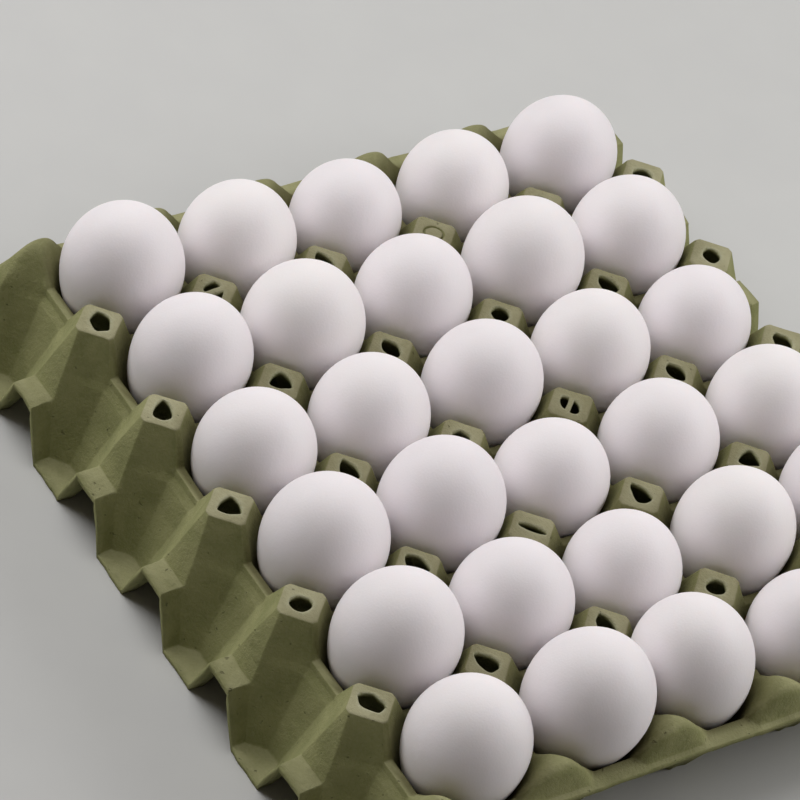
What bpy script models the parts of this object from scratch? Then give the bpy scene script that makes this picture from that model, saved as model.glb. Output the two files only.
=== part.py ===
"""Thirty hen's eggs, five by six, in the moulded pulp tray that holds them.

Metres, +Z up. The tray stands on the floor on the bottoms of its cups. X runs along the six eggs
of a long row and Y along the five of a short one. Every egg stands on its pointed end.
"""
import math
import random

import bmesh
import bpy
from mathutils import Matrix, Vector

# ---- driving dimensions -------------------------------------------------------------------------
PITCH = 0.0475            # one cup to the next, both ways
CUPS_X, CUPS_Y = 6, 5
SHEET = 0.002             # thickness of the pulp
POST_Z = 0.050            # flat top of a post
SADDLE_Z = 0.037          # low ridge between two neighbouring eggs
FLOOR_Z = SHEET           # inner floor of a cup, the sheet's underside being on the floor
DRAFT = 0.36              # how far a wall runs back for each metre that it drops

POST_REACH = 0.00915      # middle of a post to its clipped corners
CLIP = 0.0011             # half the width of a clipped corner
RIDGE = 0.0018            # half the width of a saddle
SADDLE_HALF = 0.0080      # half the length of a saddle's level stretch
HOLE_RADIUS = 0.0042      # torn hole in the top of a post
HOLE_SIDES = 8

LEDGE_Z = 0.023           # small step at the foot of each post along the two long sides
LEDGE_HALF = 0.0070       # half its width
LEDGE_IN, LEDGE_OUT = 0.0175, 0.0265
FOOT_OUT = 0.0260         # rim of the foot between two steps
LIP_OUT = 0.0050          # narrow rim along the two short sides
LIP_DROP = 0.0008
END_TOP, END_FACE = 0.0015, 0.0030        # how far out an end post's face starts, and meets the rim
END_SPREAD = 0.0120       # half the width of an end post where it meets the rim

EGG_RADIUS = {"S": 0.0210, "M": 0.0218, "L": 0.0226}
EGG_GRADES = ("LMSSM", "MLMLM", "MMMMS", "LLSMM", "LMSML", "MLMSM")   # one word for each short row
BLUNT_OVER_RADIUS = 1.14  # blunt end's height over the widest level, in radii
POINT_OVER_RADIUS = 1.46  # pointed end's depth under it
POINT_TAPER = 0.06        # how much leaner than an ellipse the pointed end is
EGG_STEPS = 12            # facets round an egg
EGG_RINGS = 7             # facets from tip to tip
EGG_LEAN, LEAN_SPREAD = 6.5, 3.0          # most eggs lean alike in their cups; degrees
LEAN_WAY, WAY_SPREAD = 30.0, 35.0         # compass angle that their blunt ends lean toward
OWN_LEANS = {(5, 2): (13.0, 247.0), (0, 0): (3.0, 200.0)}   # (column, row): (lean, way)
PIVOT_OVER_RADIUS = 0.40  # an egg rolls about a point this far under its widest level
GAP = 0.0003              # left between egg and pulp
WELD = 0.00002            # points closer than this are one point
SEED = 30

NAME = "egg_tray"
HALF = PITCH / 2
LONG_SIDE = CUPS_Y * HALF         # post line of the long sides, in Y
SHORT_SIDE = CUPS_X * HALF        # post line of the short sides, in X
POST_DIAGONAL = POST_REACH + CLIP
ROOT2 = math.sqrt(2.0)


def clear_scene():
    for obj in list(bpy.data.objects):
        bpy.data.objects.remove(obj, do_unlink=True)


def make_material(name, colour, roughness):
    material = bpy.data.materials.new(name)
    material.use_nodes = True
    shader = material.node_tree.nodes["Principled BSDF"]
    shader.inputs["Base Color"].default_value = (*colour, 1.0)
    shader.inputs["Roughness"].default_value = roughness
    shader.inputs["Metallic"].default_value = 0.0
    material.diffuse_color = (*colour, 1.0)
    return material


def new_object(name, mesh, material, collection):
    obj = bpy.data.objects.new(name, mesh)
    mesh.materials.append(material)
    collection.objects.link(obj)
    return obj


def cup_middle(column, row):
    """Middle of a cup; column counts along X, row along Y."""
    return (column - (CUPS_X - 1) / 2) * PITCH, (row - (CUPS_Y - 1) / 2) * PITCH


# ---- the pulp sheet's upper side ----------------------------------------------------------------
# Distances of a cup's two kinds of wall from its middle: the flat ones under the saddles, and the
# slanting ones under the posts, which carry the egg.
def saddle_wall(z):
    return HALF - RIDGE - (SADDLE_Z - z) * DRAFT


def post_wall(z):
    return ROOT2 * HALF - POST_DIAGONAL / ROOT2 - (POST_Z - z) * DRAFT


FLOOR_A = saddle_wall(FLOOR_Z)                # the eight corners of a cup's floor: (A, B), (B, A) ...
FLOOR_B = ROOT2 * post_wall(FLOOR_Z) - FLOOR_A


class Sheet:
    """Collects the faces of the pulp sheet; faces that share a corner are welded later."""

    def __init__(self):
        self.bm = bmesh.new()

    def face(self, *points):
        self.bm.faces.new([self.bm.verts.new(point) for point in points])

    def mesh(self, name):
        bmesh.ops.remove_doubles(self.bm, verts=self.bm.verts, dist=WELD)
        bmesh.ops.recalc_face_normals(self.bm, faces=self.bm.faces)
        if sum(face.normal.z * face.calc_area() for face in self.bm.faces) < 0:
            bmesh.ops.reverse_faces(self.bm, faces=self.bm.faces)
        mesh = bpy.data.meshes.new(name)
        self.bm.to_mesh(mesh)
        self.bm.free()
        return mesh


def add_cup(sheet, x, y):
    """Eight walls and a floor, from the rim of the saddles and posts down."""
    def at(quadrant, a, b, z):
        turn = Matrix.Rotation(quadrant * math.pi / 2, 2)
        spot = turn @ Vector((a, b))
        return x + spot.x, y + spot.y, z

    rim = HALF - RIDGE
    near, far = HALF - CLIP, HALF - POST_REACH
    floor = []
    for quadrant in range(4):
        saddle = at(quadrant, rim, SADDLE_HALF, SADDLE_Z)
        next_saddle = at(quadrant, SADDLE_HALF, rim, SADDLE_Z)
        corner = at(quadrant, FLOOR_A, FLOOR_B, FLOOR_Z)
        next_corner = at(quadrant, FLOOR_B, FLOOR_A, FLOOR_Z)
        sheet.face(saddle, at(quadrant, near, far, POST_Z), at(quadrant, far, near, POST_Z),
                   next_saddle, next_corner, corner)
        sheet.face(next_saddle, at(quadrant, -SADDLE_HALF, rim, SADDLE_Z),
                   at(quadrant, -FLOOR_B, FLOOR_A, FLOOR_Z), next_corner)
        floor += [corner, next_corner]
    sheet.face(*floor)


def add_ridge(sheet, place):
    """Saddle between two posts; place(s, a, z) puts a point s along it and a across it."""
    for end in (-1, 1):
        sheet.face(place(end * (HALF - POST_REACH), -CLIP, POST_Z),
                   place(end * (HALF - POST_REACH), CLIP, POST_Z),
                   place(end * SADDLE_HALF, RIDGE, SADDLE_Z),
                   place(end * SADDLE_HALF, -RIDGE, SADDLE_Z))
    sheet.face(place(-SADDLE_HALF, -RIDGE, SADDLE_Z), place(SADDLE_HALF, -RIDGE, SADDLE_Z),
               place(SADDLE_HALF, RIDGE, SADDLE_Z), place(-SADDLE_HALF, RIDGE, SADDLE_Z))


def add_post_top(sheet, x, y):
    """Square top, set at 45 degrees with clipped corners, round the hole torn in it."""
    outer, inner = [], []
    for quadrant in range(4):
        turn = Matrix.Rotation(quadrant * math.pi / 2, 2)
        for across in (-CLIP, CLIP):
            outer.append(turn @ Vector((POST_REACH, across)))
    for spot in outer:
        inner.append(spot.normalized() * HOLE_RADIUS)
    for i in range(HOLE_SIDES):
        j = (i + 1) % HOLE_SIDES
        sheet.face(*[(x + spot.x, y + spot.y, POST_Z) for spot in (outer[i], outer[j], inner[j], inner[i])])


def add_skirt_bay(sheet, place):
    """Outer wall between two posts of a long side; a is measured outward from the post line."""
    foot_a, foot_b = HALF - FLOOR_A, HALF - FLOOR_B
    step = HALF - LEDGE_HALF
    for end in (-1, 1):
        sheet.face(place(end * SADDLE_HALF, RIDGE, SADDLE_Z),
                   place(end * (HALF - POST_REACH), CLIP, POST_Z),
                   place(end * (HALF - CLIP), POST_REACH, POST_Z),
                   place(end * step, LEDGE_IN, LEDGE_Z),
                   place(end * FLOOR_A, foot_b, FLOOR_Z),
                   place(end * FLOOR_B, foot_a, FLOOR_Z))
        sheet.face(place(end * step, LEDGE_IN, LEDGE_Z), place(end * step, LEDGE_OUT, LEDGE_Z),
                   place(end * FLOOR_A, FOOT_OUT, FLOOR_Z), place(end * FLOOR_A, foot_b, FLOOR_Z))
    sheet.face(place(-SADDLE_HALF, RIDGE, SADDLE_Z), place(SADDLE_HALF, RIDGE, SADDLE_Z),
               place(FLOOR_B, foot_a, FLOOR_Z), place(-FLOOR_B, foot_a, FLOOR_Z))
    sheet.face(place(-FLOOR_B, foot_a, FLOOR_Z), place(FLOOR_B, foot_a, FLOOR_Z),
               place(FLOOR_A, foot_b, FLOOR_Z), place(FLOOR_A, FOOT_OUT, FLOOR_Z),
               place(-FLOOR_A, FOOT_OUT, FLOOR_Z), place(-FLOOR_A, foot_b, FLOOR_Z))


def add_step(sheet, place, top_right=CLIP, foot_right=LEDGE_HALF):
    """Outer face of a side post and the ledge at its foot; a corner's stop short on the right."""
    sheet.face(place(-CLIP, POST_REACH, POST_Z), place(top_right, POST_REACH, POST_Z),
               place(foot_right, LEDGE_IN, LEDGE_Z), place(-LEDGE_HALF, LEDGE_IN, LEDGE_Z))
    sheet.face(place(-LEDGE_HALF, LEDGE_IN, LEDGE_Z), place(foot_right, LEDGE_IN, LEDGE_Z),
               place(foot_right, LEDGE_OUT, LEDGE_Z), place(-LEDGE_HALF, LEDGE_OUT, LEDGE_Z))


def add_end_bay(sheet, place):
    """Rim of a short side between the middles of two posts; a is measured outward."""
    lip_z = SADDLE_Z - LIP_DROP
    foot = HALF - END_SPREAD
    for end in (-1, 1):
        sheet.face(place(end * (HALF - POST_REACH), -CLIP, POST_Z),
                   place(end * (HALF - POST_REACH), END_TOP, POST_Z),
                   place(end * foot, END_FACE, SADDLE_Z),
                   place(end * SADDLE_HALF, -RIDGE, SADDLE_Z))
        sheet.face(place(end * SADDLE_HALF, -RIDGE, SADDLE_Z), place(end * foot, END_FACE, SADDLE_Z),
                   place(end * foot, LIP_OUT, lip_z), place(end * SADDLE_HALF, LIP_OUT, lip_z))
    sheet.face(place(-SADDLE_HALF, -RIDGE, SADDLE_Z), place(SADDLE_HALF, -RIDGE, SADDLE_Z),
               place(SADDLE_HALF, LIP_OUT, lip_z), place(-SADDLE_HALF, LIP_OUT, lip_z))


def add_end_post(sheet, place):
    """Half a post at a short side: its top stops near the post line, and a steep face drops to the rim."""
    lip_z = SADDLE_Z - LIP_DROP
    sheet.face(place(-POST_REACH, END_TOP, POST_Z), place(-POST_REACH, -CLIP, POST_Z),
               place(-CLIP, -POST_REACH, POST_Z), place(CLIP, -POST_REACH, POST_Z),
               place(POST_REACH, -CLIP, POST_Z), place(POST_REACH, END_TOP, POST_Z))
    sheet.face(place(-POST_REACH, END_TOP, POST_Z), place(POST_REACH, END_TOP, POST_Z),
               place(END_SPREAD, END_FACE, SADDLE_Z), place(-END_SPREAD, END_FACE, SADDLE_Z))
    sheet.face(place(-END_SPREAD, END_FACE, SADDLE_Z), place(END_SPREAD, END_FACE, SADDLE_Z),
               place(END_SPREAD, LIP_OUT, lip_z), place(-END_SPREAD, LIP_OUT, lip_z))


def add_corner(sheet, place):
    """Quarter of the rim where the two kinds of side meet; s runs out to the short side, a to the long."""
    lip_z = SADDLE_Z - LIP_DROP
    sheet.face(place(END_TOP, -POST_REACH, POST_Z), place(-CLIP, -POST_REACH, POST_Z),
               place(-POST_REACH, -CLIP, POST_Z), place(-POST_REACH, CLIP, POST_Z),
               place(-CLIP, POST_REACH, POST_Z), place(END_TOP, POST_REACH, POST_Z))
    sheet.face(place(END_TOP, -POST_REACH, POST_Z), place(END_TOP, POST_REACH, POST_Z),
               place(END_FACE, LEDGE_IN, LEDGE_Z), place(END_FACE, 0, SADDLE_Z),
               place(END_FACE, -END_SPREAD, SADDLE_Z))
    sheet.face(place(END_FACE, -END_SPREAD, SADDLE_Z), place(END_FACE, 0, SADDLE_Z),
               place(LIP_OUT, 0, lip_z), place(LIP_OUT, -END_SPREAD, lip_z))
    sheet.face(place(END_FACE, 0, SADDLE_Z), place(END_FACE, LEDGE_IN, LEDGE_Z),
               place(LIP_OUT, LEDGE_IN, LEDGE_Z), place(LIP_OUT, 0, lip_z))
    sheet.face(place(END_FACE, LEDGE_IN, LEDGE_Z), place(END_FACE, LEDGE_OUT, LEDGE_Z),
               place(LIP_OUT, LEDGE_OUT, LEDGE_Z), place(LIP_OUT, LEDGE_IN, LEDGE_Z))


def build_sheet():
    sheet = Sheet()
    for column in range(CUPS_X):
        for row in range(CUPS_Y):
            add_cup(sheet, *cup_middle(column, row))

    for column in range(CUPS_X):                 # saddles that run along X, outer ones too
        x = cup_middle(column, 0)[0]
        for line in range(CUPS_Y + 1):
            y = line * PITCH - LONG_SIDE
            add_ridge(sheet, lambda s, a, z, x=x, y=y: (x + s, y + a, z))
    for row in range(CUPS_Y):                    # saddles that run along Y, between the cups only
        y = cup_middle(0, row)[1]
        for line in range(1, CUPS_X):
            x = line * PITCH - SHORT_SIDE
            add_ridge(sheet, lambda s, a, z, x=x, y=y: (x + a, y + s, z))
    for line_x in range(1, CUPS_X):
        for line_y in range(CUPS_Y + 1):
            add_post_top(sheet, line_x * PITCH - SHORT_SIDE, line_y * PITCH - LONG_SIDE)

    for side in (-1, 1):
        for column in range(CUPS_X):
            x = cup_middle(column, 0)[0]
            add_skirt_bay(sheet, lambda s, a, z, x=x: (x + s, side * (LONG_SIDE + a), z))
        for line in range(1, CUPS_X):
            x = line * PITCH - SHORT_SIDE
            add_step(sheet, lambda s, a, z, x=x: (x + s, side * (LONG_SIDE + a), z))
        for row in range(CUPS_Y):
            y = cup_middle(0, row)[1]
            add_end_bay(sheet, lambda s, a, z, y=y: (side * (SHORT_SIDE + a), y + s, z))
        for line in range(1, CUPS_Y):
            y = line * PITCH - LONG_SIDE
            add_end_post(sheet, lambda s, a, z, y=y: (side * (SHORT_SIDE + a), y + s, z))
        for end in (-1, 1):
            def corner(s, a, z):
                return end * (SHORT_SIDE + s), side * (LONG_SIDE + a), z
            add_corner(sheet, corner)
            add_step(sheet, corner, top_right=END_TOP, foot_right=END_FACE)
    return sheet


def build_tray(material, collection):
    tray = new_object("tray", build_sheet().mesh("tray"), material, collection)
    shell = tray.modifiers.new("pulp thickness", "SOLIDIFY")
    shell.thickness = SHEET
    shell.offset = -1.0
    shell.use_even_offset = True
    return tray


# ---- the eggs -----------------------------------------------------------------------------------
def egg_profile(radius):
    """Half outline from the pointed tip to the blunt one, widest at height 0."""
    points = []
    for ring in range(EGG_RINGS + 1):
        angle = -math.pi / 2 + math.pi * ring / EGG_RINGS
        lower = min(0.0, math.sin(angle))
        height = (POINT_OVER_RADIUS if angle < 0 else BLUNT_OVER_RADIUS) * math.sin(angle)
        width = 0.0 if ring in (0, EGG_RINGS) else math.cos(angle) * (1 - POINT_TAPER * lower * lower)
        points.append((width * radius, height * radius))
    return points


def egg_turn(column, row, draws):
    """Turn that swings the egg's blunt end out of the upright, toward the compass angle `way`."""
    lean = EGG_LEAN + draws.uniform(-LEAN_SPREAD, LEAN_SPREAD)
    way = LEAN_WAY + draws.uniform(-WAY_SPREAD, WAY_SPREAD)
    lean, way = OWN_LEANS.get((column, row), (lean, way))
    compass = math.radians(way)
    return Matrix.Rotation(math.radians(lean), 3, Vector((-math.sin(compass), math.cos(compass), 0.0)))


def egg_seat(radius, turn):
    """Middle of the egg's widest level, from the middle of its cup: as low as its walls allow."""
    slope = math.hypot(1.0, DRAFT)
    aside = turn @ Vector((0.0, 0.0, PIVOT_OVER_RADIUS * radius))
    height = FLOOR_Z + GAP
    for width, level in egg_profile(radius):
        for step in range(2 * EGG_STEPS):
            around = math.pi * step / EGG_STEPS
            spot = turn @ Vector((width * math.cos(around), width * math.sin(around), level))
            for wall in range(8):
                reach = post_wall(0.0) if wall % 2 else saddle_wall(0.0)
                outward = ((spot.x + aside.x) * math.cos(wall * math.pi / 4)
                           + (spot.y + aside.y) * math.sin(wall * math.pi / 4))
                height = max(height, (outward - reach + GAP * slope) / DRAFT - spot.z)
    return aside.x, aside.y, height


def build_egg(name, column, row, draws, material, collection):
    radius = EGG_RADIUS[EGG_GRADES[column][row]]
    profile = egg_profile(radius)
    mesh = bpy.data.meshes.new(name)
    mesh.from_pydata([(width, 0.0, height) for width, height in profile],
                     [(i, i + 1) for i in range(EGG_RINGS)], [])
    egg = new_object(name, mesh, material, collection)
    turn = egg_turn(column, row, draws)
    x, y = cup_middle(column, row)
    egg.location = Vector(egg_seat(radius, turn)) + Vector((x, y, 0.0))
    egg.rotation_euler = turn.to_euler()
    screw = egg.modifiers.new("turned egg", "SCREW")
    screw.axis = "Z"
    screw.angle = 2 * math.pi
    screw.steps = EGG_STEPS
    screw.render_steps = EGG_STEPS
    screw.use_merge_vertices = True
    screw.merge_threshold = WELD
    screw.use_normal_calculate = True
    return egg


def main():
    clear_scene()
    collection = bpy.data.collections.new(NAME)
    bpy.context.scene.collection.children.link(collection)
    pulp = make_material("pulp", (0.235, 0.245, 0.120), 0.95)
    shell = make_material("egg_shell", (0.80, 0.76, 0.76), 0.55)
    build_tray(pulp, collection)
    draws = random.Random(SEED)
    for column in range(CUPS_X):
        for row in range(CUPS_Y):
            build_egg(f"egg_{column + 1}_{row + 1}", column, row, draws, shell, collection)


main()
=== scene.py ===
# %% [markdown]
# # Thirty white eggs in a moulded pulp tray
# The real object is a tray of grey-green paper pulp with thirty cups, and a white hen's egg standing on its
# pointed end in every cup. Hollow square posts rise between the cups, with a torn hole in their tops. The
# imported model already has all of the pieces, but with flat facets and sharp folds. It could be smoothed,
# which would round everything alike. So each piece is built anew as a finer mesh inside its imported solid,
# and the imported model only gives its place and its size.
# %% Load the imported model
import math
import random

import bmesh
import bpy
import numpy as np
from mathutils import Matrix, Vector, noise


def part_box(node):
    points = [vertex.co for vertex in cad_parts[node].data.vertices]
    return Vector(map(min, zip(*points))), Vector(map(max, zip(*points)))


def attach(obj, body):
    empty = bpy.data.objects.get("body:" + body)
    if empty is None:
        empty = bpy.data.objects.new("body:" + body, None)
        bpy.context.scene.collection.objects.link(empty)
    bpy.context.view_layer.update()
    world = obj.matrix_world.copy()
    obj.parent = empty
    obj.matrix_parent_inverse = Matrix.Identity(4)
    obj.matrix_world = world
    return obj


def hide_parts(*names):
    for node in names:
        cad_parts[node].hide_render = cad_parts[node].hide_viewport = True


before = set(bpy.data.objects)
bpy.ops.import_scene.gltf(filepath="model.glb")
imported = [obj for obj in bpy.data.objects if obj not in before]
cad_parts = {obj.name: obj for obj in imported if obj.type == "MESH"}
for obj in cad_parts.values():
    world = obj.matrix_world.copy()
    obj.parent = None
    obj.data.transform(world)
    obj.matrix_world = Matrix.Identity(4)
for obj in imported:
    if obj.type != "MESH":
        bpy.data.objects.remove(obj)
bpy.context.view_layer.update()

MM = 0.001
NOISE_SEED = 3
noise.seed_set(NOISE_SEED)        # without a seed, noise vectors differ from run to run
print("packed nodes:", len(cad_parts))

# %% [markdown]
# ## Measures of the pulp sheet
# The tray is one sheet, pressed over a mould. All of its walls lean by the same draft, so that the tray
# comes off the mould and stacks. A few heights and distances therefore fix every corner of the sheet. A cup
# has eight walls: four flat ones under the low saddles, and four slanting ones under the posts.
# %% Tray measures
CUPS_X, CUPS_Y = 6, 5
tray_low, tray_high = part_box("tray")
PITCH = 47.5 * MM
HALF = PITCH / 2
LONG_SIDE = CUPS_Y * HALF         # post line of the two long sides, in Y
SHORT_SIDE = CUPS_X * HALF        # post line of the two short sides, in X
PULP = 2.0 * MM
POST_Z = tray_high[2]
SADDLE_Z = POST_Z - 13.0 * MM
FLOOR_Z = PULP
DRAFT = 0.36
ROOT2 = math.sqrt(2.0)

POST_REACH = 9.15 * MM            # middle of a post to its clipped corners
CLIP = 1.1 * MM                   # half of a clipped corner's width
RIDGE = 1.8 * MM                  # half of a saddle's width
SADDLE_HALF = 8.0 * MM            # half of a saddle's level stretch
POST_DIAGONAL = POST_REACH + CLIP


def saddle_wall(z):
    """Distance of a wall under a saddle from the middle of its cup, at height z."""
    return HALF - RIDGE - (SADDLE_Z - z) * DRAFT


def post_wall(z):
    """The same for a wall under a post, along the cup's diagonal."""
    return ROOT2 * HALF - POST_DIAGONAL / ROOT2 - (POST_Z - z) * DRAFT


def cup_middle(column, row):
    return (column - (CUPS_X - 1) / 2) * PITCH, (row - (CUPS_Y - 1) / 2) * PITCH


print("tray over all, mm:", [round((tray_high[i] - tray_low[i]) / MM, 1) for i in range(3)])
print("cup across its rim and its floor, mm:",
      round(2 * saddle_wall(SADDLE_Z) / MM, 1), round(2 * saddle_wall(FLOOR_Z) / MM, 1))

# %% [markdown]
# ## A loom for quads
# Plain boxes or a subdivided cage could give the folds, but a sheet with a hundred posts and saddles needs
# quads that meet without gaps. So every face of the sheet is woven between two edges that have the same
# number of points, and the shared edges are welded at the end. The folds lie at the ends of every edge, so
# the first points lie a fraction of a millimetre from them, whatever the edge's length: that keeps folds
# crisp.
# %% Loom
WELD = 0.02 * MM
FOLD_GAPS = (0.4 * MM, 1.1 * MM)      # the first and second point from a fold


def near_folds(length, steps):
    """Shares from 0 to 1 for an edge with a fold at both ends."""
    ends = min(len(FOLD_GAPS), (steps - 1) // 2)
    near = [0.0] + [min(FOLD_GAPS[k] / length, (k + 1) / steps) for k in range(ends)]
    inner = steps - 2 * ends
    middle = [near[-1] + (1 - 2 * near[-1]) * k / inner for k in range(1, inner)]
    return near + middle + [1 - share for share in reversed(near)]


def shares_of(rows, start, end):
    """Rows may be a number of steps, or the shares themselves."""
    return near_folds((end - start).length, rows) if isinstance(rows, int) else rows


def edge(start, end, rows):
    start, end = Vector(start), Vector(end)
    return [start.lerp(end, share) for share in shares_of(rows, start, end)]


def chain(*lists):
    """Edges laid end to end, without the doubled points."""
    joined = list(lists[0])
    for more in lists[1:]:
        joined += more[1:]
    return joined


class Loom:
    def __init__(self):
        self.bm = bmesh.new()

    def weave(self, first, last, rows, last_rows=None, closed=False):
        """Quads between two edges. Rows divide the lines that join them, and last_rows those at their far
        ends, where they differ."""
        count = len(first)
        columns = []
        for i, (start, end) in enumerate(zip(first, last)):
            near = shares_of(rows, start, end)
            far = shares_of(last_rows or rows, start, end)
            drift = i / (count - 1)
            columns.append([self.bm.verts.new(start.lerp(end, share + (other - share) * drift))
                            for share, other in zip(near, far)])
        for i in range(count if closed else count - 1):
            left, right = columns[i], columns[(i + 1) % count]
            for j in range(len(left) - 1):
                self.bm.faces.new((left[j], right[j], right[j + 1], left[j + 1]))

    def fan(self, ring, middle, rows):
        self.weave(ring, [Vector(middle)] * len(ring), rows, closed=True)

    def finish(self, name):
        bmesh.ops.remove_doubles(self.bm, verts=self.bm.verts, dist=WELD)
        bmesh.ops.recalc_face_normals(self.bm, faces=self.bm.faces)
        if sum(face.normal.z * face.calc_area() for face in self.bm.faces) < 0:
            bmesh.ops.reverse_faces(self.bm, faces=self.bm.faces)
        mesh = bpy.data.meshes.new(name)
        self.bm.to_mesh(mesh)
        self.bm.free()
        return mesh


loom = Loom()
print("shares of a 15 mm edge:", [round(share, 2) for share in near_folds(15 * MM, 7)])

# %% [markdown]
# ## The cups
# Each egg stands in a cup of its own. The cup's walls start at its rim, which climbs from the saddles to
# the posts and down again, and end at an eight-sided floor. A tapered cylinder could be cut to that rim,
# but the cut would leave slivers; quads that run from rim to floor fit without one. Rows lie close together
# near the rim, where the folds are seen, and far apart below, where the egg hides them.
# %% Cups
LEVEL_STEPS, SLOPE_STEPS, POST_STEPS = 6, 7, 6
CUP_ROWS = (0, 0.012, 0.035, 0.09, 0.19, 0.34, 0.58, 1)
FLOOR_A = saddle_wall(FLOOR_Z)
FLOOR_B = ROOT2 * post_wall(FLOOR_Z) - FLOOR_A


def rim_quarter(at):
    """A quarter of a cup's rim and the quarter of its floor's outline below it."""
    near, far, rim = HALF - CLIP, HALF - POST_REACH, HALF - RIDGE
    corners = [(rim, -SADDLE_HALF, SADDLE_Z), (rim, SADDLE_HALF, SADDLE_Z), (near, far, POST_Z),
               (far, near, POST_Z), (SADDLE_HALF, rim, SADDLE_Z)]
    third = (FLOOR_A - FLOOR_B) / 3
    feet = [(FLOOR_A, -FLOOR_B), (FLOOR_A, FLOOR_B), (FLOOR_A - third, FLOOR_B + third),
            (FLOOR_B + third, FLOOR_A - third), (FLOOR_B, FLOOR_A)]
    steps = (LEVEL_STEPS, SLOPE_STEPS, POST_STEPS, SLOPE_STEPS)
    upper = chain(*[edge(at(corners[i]), at(corners[i + 1]), steps[i]) for i in range(4)])
    lower = chain(*[edge(at((*feet[i], FLOOR_Z)), at((*feet[i + 1], FLOOR_Z)), steps[i]) for i in range(4)])
    return upper, lower


def weave_cup(x, y):
    rim, floor = [], []
    for quarter in range(4):
        turn = Matrix.Rotation(quarter * math.pi / 2, 3, "Z")
        upper, lower = rim_quarter(lambda spot: Vector((x, y, 0)) + turn @ Vector(spot))
        rim += upper[:-1]
        floor += lower[:-1]
    loom.weave(rim, floor, CUP_ROWS, closed=True)
    loom.fan(floor, (x, y, FLOOR_Z), (0, 1))
    return len(rim)


for column in range(CUPS_X):
    for row in range(CUPS_Y):
        around = weave_cup(*cup_middle(column, row))
print("quads round a cup:", around)

# %% [markdown]
# ## Saddles
# A saddle is the narrow ridge between two neighbouring eggs: steep at both ends, level in the middle.
# Copies of one saddle object could be laid over the grid, but they would have to be turned and joined. Here
# its place is given by a small function instead, so the same few lines weave those along X and those along
# Y in place.
# %% Saddles
ACROSS_STEPS = 4


def across(place, s, half_width, z):
    return edge(place(s, -half_width, z), place(s, half_width, z), ACROSS_STEPS)


def weave_saddle(place):
    for end in (-1, 1):
        loom.weave(across(place, end * (HALF - POST_REACH), CLIP, POST_Z),
                   across(place, end * SADDLE_HALF, RIDGE, SADDLE_Z), SLOPE_STEPS)
    loom.weave(across(place, -SADDLE_HALF, RIDGE, SADDLE_Z),
               across(place, SADDLE_HALF, RIDGE, SADDLE_Z), LEVEL_STEPS)


def along_x(x, y):
    return lambda s, a, z: (x + s, y + a, z)


def along_y(x, y):
    return lambda s, a, z: (x + a, y + s, z)


saddles = 0
for column in range(CUPS_X):
    for line in range(CUPS_Y + 1):
        weave_saddle(along_x(cup_middle(column, 0)[0], line * PITCH - LONG_SIDE))
        saddles += 1
for row in range(CUPS_Y):
    for line in range(1, CUPS_X):
        weave_saddle(along_y(line * PITCH - SHORT_SIDE, cup_middle(0, row)[1]))
        saddles += 1
print("saddles:", saddles)

# %% [markdown]
# ## The shape of a torn hole
# Each post's top is a small square with clipped corners. Where the mould sucked the water out, the pulp has
# torn open, and no two holes are alike: drops, blunt triangles, five-sided ones and ovals. One formula
# gives them all: a polygon with blunt corners, drawn out along one way and made ragged by a little noise.
# %% Torn outlines
HOLE_RADIUS = 4.2 * MM
# kind: (sides, sharpness of the corners, stretch along its way, size)
HOLE_KINDS = {"drop": (3, 0.50, 0.28, 1.03), "triangle": (3, 0.65, 0.02, 1.08),
              "five": (5, 0.85, 0.24, 1.04), "oval": (4, 0.25, 0.10, 0.88), "long": (4, 0.30, 0.28, 0.92),
              "small": (5, 0.60, 0.12, 0.84), "slit": (4, 0.10, 0.86, 0.70)}
TATTER = 0.08


def torn_outline(kind, way, middle, count, first_angle):
    """Points round a hole whose sharpest corner points along the angle `way`."""
    sides, sharpness, stretch, size = HOLE_KINDS[kind]
    sector = 2 * math.pi / sides
    blunt = (1 + math.cos(sector / 2)) / 2
    points = []
    for i in range(count):
        off = first_angle + 2 * math.pi * i / count - way
        corner = math.cos(sector / 2) / max(0.3, math.cos(off % sector - sector / 2))
        tatter = TATTER * noise.noise(Vector((3 * math.cos(off), 3 * math.sin(off), middle.x / MM)))
        radius = HOLE_RADIUS * size * (1 + sharpness * (corner / blunt - 1) + tatter)
        spot = Vector((radius * math.cos(off) * (1 + stretch), radius * math.sin(off) * (1 - stretch / 2), 0))
        points.append(middle + Matrix.Rotation(way, 3, "Z") @ spot)
    return points


print("kinds of hole:", sorted(HOLE_KINDS))

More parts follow.
